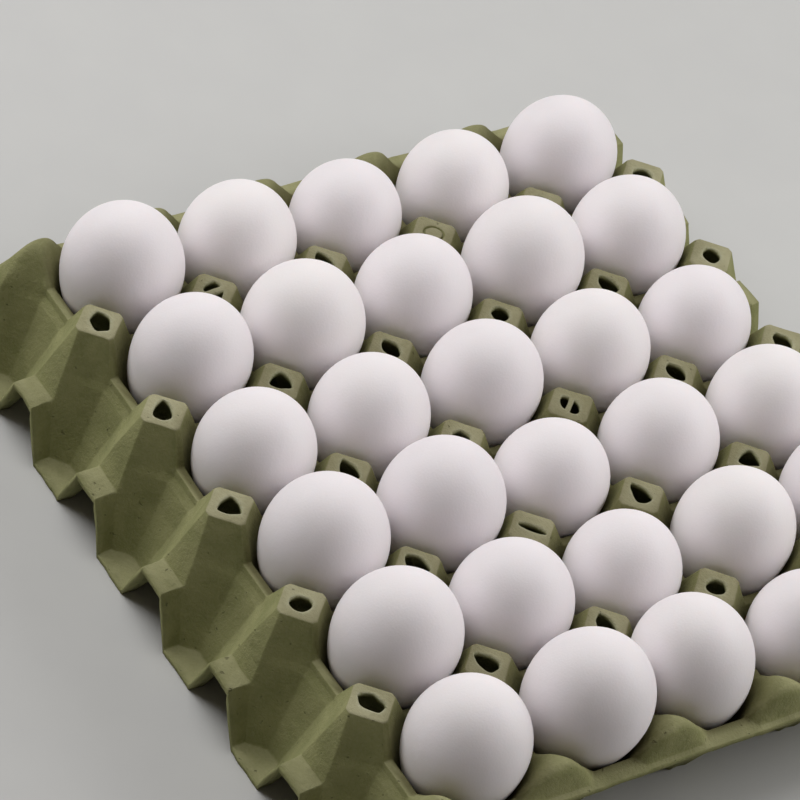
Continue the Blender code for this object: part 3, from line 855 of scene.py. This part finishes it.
class Paint:
    """A material and its nodes."""

    def __init__(self, name):
        self.material = bpy.data.materials.new(name)
        self.material.use_nodes = True
        self.tree = self.material.node_tree
        self.shader = self.tree.nodes["Principled BSDF"]

    def fill(self, socket, value):
        if isinstance(value, Value):
            self.tree.links.new(value.socket, socket)
        elif socket.type == "RGBA" and len(value) == 3:
            socket.default_value = (*value, 1.0)
        else:
            socket.default_value = value

    def node(self, kind, settings=None, inputs=None, output=0):
        """Adds a node: settings first, then the values or links of its sockets."""
        node = self.tree.nodes.new(kind)
        for key, value in (settings or {}).items():
            setattr(node, key, value)
        for key, value in (inputs or {}).items():
            self.fill(node.inputs[key], value)
        return Value(self, node.outputs[output])

    def blend(self, share, first, second):
        """Mixes two colours by a share from 0 to 1."""
        return self.node("ShaderNodeMix", {"data_type": "RGBA"},
                         {MIX_SHARE: share, MIX_FIRST: first, MIX_SECOND: second}, MIX_RESULT)

    def here(self):
        """The place of a point in the piece's own space."""
        return self.node("ShaderNodeTexCoord", output=OWN_SPACE)

    def carried(self, name):
        """A number that the mesh carries under this name."""
        return self.node("ShaderNodeAttribute", {"attribute_name": name}, output=NUMBER)

    def facing_up(self):
        """1 on a face that looks straight up, 0 on an upright one."""
        normal = self.node("ShaderNodeNewGeometry", output=NORMAL)
        return self.node("ShaderNodeSeparateXYZ", {}, {0: normal}, output=UPWARD)

    def noise(self, where, scale, detail=3.0, roughness=0.5):
        return self.node("ShaderNodeTexNoise", {}, {"Vector": where, "Scale": scale, "Detail": detail,
                                                    "Roughness": roughness})

    def between(self, value, low, high):
        """0 under low, 1 over high, smooth in between."""
        return self.node("ShaderNodeMapRange", {"interpolation_type": "SMOOTHSTEP"},
                         {"Value": value, "From Min": low, "From Max": high})

    def set(self, **sockets):
        for name, value in sockets.items():
            self.fill(self.shader.inputs[name.replace("_", " ")], value)

    def bumps(self, *layers):
        """Bump nodes in a row; every layer is (height, depth in metres)."""
        normal = None
        for height, depth in layers:
            inputs = {"Height": height, "Distance": depth, "Strength": 1.0}
            if normal is not None:
                inputs["Normal"] = normal
            normal = self.node("ShaderNodeBump", {}, inputs)
        self.fill(self.shader.inputs["Normal"], normal)


print("ready: Value for numbers, Paint for materials")

# %% [markdown]
# ## Pulp
# Moulded pulp is paper that was never pressed flat: matt, fibrous, and mottled where the fibres clumped.
# Faces that look up get a paler copy of the wall colour: painted light, weaker low down and on the posts of
# the short sides. Over it lie clumps, short fibres and a few dark pits. Deep in the cups and on the posts
# between the eggs a dark painted shade is mixed in, and round the holes pale fibres stand out. A picture
# of pulp could be wrapped round the tray, but it would stretch on the steep
# walls and repeat. Noise in the tray's own space does neither, and the numbers that the sheet carries say
# where to put it.
# %% Pulp material
WALL_DARK, WALL_LIGHT = (0.206, 0.212, 0.085), (0.264, 0.264, 0.116)
# A paler copy of the pulp colour for faces that look up: painted light.
LIT_TOP_DARK, LIT_TOP_PALE = (0.258, 0.243, 0.140), (0.345, 0.327, 0.204)
FIBRE, TORN_FIBRE = (0.36, 0.35, 0.22), (0.42, 0.42, 0.30)
# The second colour on the next line is a painted shade, for deep in the cups and the posts between the eggs.
PIT, SHADE_COLOUR = (0.07, 0.066, 0.03), (0.062, 0.050, 0.012)
pulp = Paint("moulded pulp")
here = pulp.here()
clumps = pulp.noise(here, 70, 4.0, 0.6)
fibres = pulp.noise(here, 900, 4.0, 0.65)
fuzz = pulp.noise(here, 2600, 2.0)
pit = pulp.between(pulp.noise(here, 420, 2.0), 0.70, 0.76)
# Painted light: faces that look up take the paler top colour, with less of it low down and on the end posts.
painted_top_light = pulp.between(pulp.facing_up() + (clumps - 0.5) * 0.3, 0.45, 0.95) * pulp.carried("lit_top_share")
clumped = pulp.between(clumps, 0.3, 0.7)
wall = pulp.blend(clumped, WALL_DARK, WALL_LIGHT)
top = pulp.blend(clumped, LIT_TOP_DARK, LIT_TOP_PALE)
base = pulp.blend(painted_top_light, wall, top)
base = pulp.blend(pulp.between(fibres, 0.35, 0.75) * 0.18, base, FIBRE)
base = pulp.blend(pit * 0.5, base, PIT)
base = pulp.blend(pulp.carried("torn") * pulp.between(fibres, 0.3, 0.6) * 0.6, base, TORN_FIBRE)
# Painted shade deep in the cups and on the posts between the eggs.
base = pulp.blend(pulp.carried("depth") * 0.8, base, SHADE_COLOUR)
pulp.set(Base_Color=base, Roughness=0.88 + fibres * 0.1)
pulp.shader.inputs["Specular IOR Level"].default_value = 0.25
pulp.bumps((clumps, 1.0 * MM), (fibres, 0.28 * MM), (fuzz, 0.10 * MM), (1 - pit, 0.3 * MM))
tray_mesh.materials.append(pulp.material)
print("pulp nodes:", len(pulp.tree.nodes))

# %% [markdown]
# ## Eggshell
# A white shell is never pure white: it has a faint pink or lavender cast that differs from egg to egg, with
# soft cloudy patches. Its surface is a fine grain of pores under a dull sheen. Thirty materials could give
# thirty tints; instead every egg carries one number, its tint, and all of them share one material. A little
# light is let into the shell, which is why white eggs never look like plaster.
# %% Shell material
PINKISH, WHITISH = (0.80, 0.755, 0.780), (0.83, 0.79, 0.795)
CLOUD, PORE = (0.84, 0.79, 0.825), (0.62, 0.57, 0.55)
shell = Paint("white eggshell")
here = shell.here()
clouds = shell.noise(here, 55, 3.0)
grain = shell.noise(here, 1400, 3.0, 0.6)
pores = shell.node("ShaderNodeTexVoronoi", {}, {"Vector": here, "Scale": 1100})
base = shell.blend(shell.carried("tint"), PINKISH, WHITISH)
base = shell.blend(shell.between(clouds, 0.35, 0.7) * 0.5, base, CLOUD)
base = shell.blend((1 - shell.between(pores, 0.05, 0.30)) * 0.06, base, PORE)
shell.set(Base_Color=base, Roughness=0.46 + grain * 0.14)
shell.shader.inputs["Specular IOR Level"].default_value = 0.35
shell.shader.inputs["Subsurface Weight"].default_value = 0.12
shell.shader.inputs["Subsurface Radius"].default_value = (0.004, 0.0026, 0.002)
shell.bumps((clouds, 0.25 * MM), (grain, 0.035 * MM), (pores, 0.02 * MM))
for egg in eggs:
    egg.data.materials.append(shell.material)
print("shell nodes:", len(shell.tree.nodes))

# %% [markdown]
# ## Floor
# The tray stands on a plain pale floor, which shows where it touches the ground and throws soft light up
# into its sides. A curved backdrop could stand behind it, but the tray is looked at from all sides. One big
# plane with a barely mottled paint serves every view.
# %% Floor
FLOOR_SIDE = 12.0
FLOOR_DARK, FLOOR_LIGHT = (0.49, 0.49, 0.485), (0.52, 0.52, 0.51)
floor_paint = Paint("pale floor")
speckle = floor_paint.noise(floor_paint.here(), 40, 4.0)
floor_paint.set(Base_Color=floor_paint.blend(speckle, FLOOR_DARK, FLOOR_LIGHT), Roughness=0.8)
bpy.ops.mesh.primitive_plane_add(size=FLOOR_SIDE, location=(0, 0, 0))
floor = bpy.context.object
floor.name = "floor"
floor.data.materials.append(floor_paint.material)
print("floor:", tuple(round(side, 1) for side in floor.dimensions))

# %% [markdown]
# ## Light
# Eggs are best seen in the soft light of a large window, which leaves their undersides grey and draws no
# hard spots on the shell. A picture of a sky could light them, but three large lamps are easier to steer:
# one on the left, one on the right of the far side, and one nearly overhead. A dim warm sky fills in the
# rest.
# %% Lights
TARGET = Vector((0, 0, 30 * MM))
# name: (compass and height in degrees, distance, size, power)
LAMPS = {"left lamp": (200, 35, 1.6, (1.1, 0.8), 13.4), "right lamp": (70, 30, 1.6, (1.1, 0.8), 16.0),
         "overhead lamp": (205, 74, 1.8, (1.4, 1.0), 13.6)}
SKY_COLOUR, SKY_STRENGTH = (1.0, 0.88, 0.74, 1.0), 0.10


def softbox(name, compass, height, distance, size, power):
    """Area lamp that looks at the tray."""
    turn, rise = math.radians(compass), math.radians(height)
    lamp = bpy.data.lights.new(name, "AREA")
    lamp.shape = "RECTANGLE"
    lamp.size, lamp.size_y = size
    lamp.energy = power
    lamp_object = bpy.data.objects.new(name, lamp)
    way = Vector((math.cos(turn) * math.cos(rise), math.sin(turn) * math.cos(rise), math.sin(rise)))
    lamp_object.location = TARGET + way * distance
    lamp_object.rotation_euler = (-way).to_track_quat("-Z", "Y").to_euler()
    bpy.context.scene.collection.objects.link(lamp_object)


for name, setting in LAMPS.items():
    softbox(name, *setting)
sky = bpy.data.worlds.new("sky")
sky.use_nodes = True
sky.node_tree.nodes["Background"].inputs["Color"].default_value = SKY_COLOUR
sky.node_tree.nodes["Background"].inputs["Strength"].default_value = SKY_STRENGTH
bpy.context.scene.world = sky
bpy.context.scene.view_settings.view_transform = "Standard"

# %% [markdown]
# ## Camera
# The tray is looked down on over one corner, so that its rows run off to both sides. A wide lens close by
# would make the near eggs loom; a long lens from a metre and a half away keeps the rows almost parallel.
# The camera is turned by the way it looks and by where its right hand points, which also sets its roll.
# %% Camera
SENSOR, LENS = 36.0, 202.5        # millimetres
EYE = Vector((0.8321, -0.8176, 1.1455))
camera_data = bpy.data.cameras.new("camera")
camera = bpy.data.objects.new("camera", camera_data)
bpy.context.scene.collection.objects.link(camera)
camera_data.sensor_width, camera_data.lens = SENSOR, LENS
camera.location = EYE
LOOK = Vector((-0.5363, 0.4906, -0.6868)).normalized()
RIGHT = Vector((0.5119, 0.8360, 0.1975))
RIGHT = (RIGHT - LOOK * RIGHT.dot(LOOK)).normalized()
UP = RIGHT.cross(LOOK)
camera.rotation_euler = Matrix((RIGHT, UP, -LOOK)).transposed().to_euler()
camera_data.clip_end = 50.0
bpy.context.scene.camera = camera
print("camera distance:", round((camera.location - TARGET).length, 3))

# %% [markdown]
# ## Last update
# A piece that is shown bigger than its imported solid would bump into things that the solid clears. Here the
# scene is only brought up to date.
# %% Finish
bpy.context.view_layer.update()
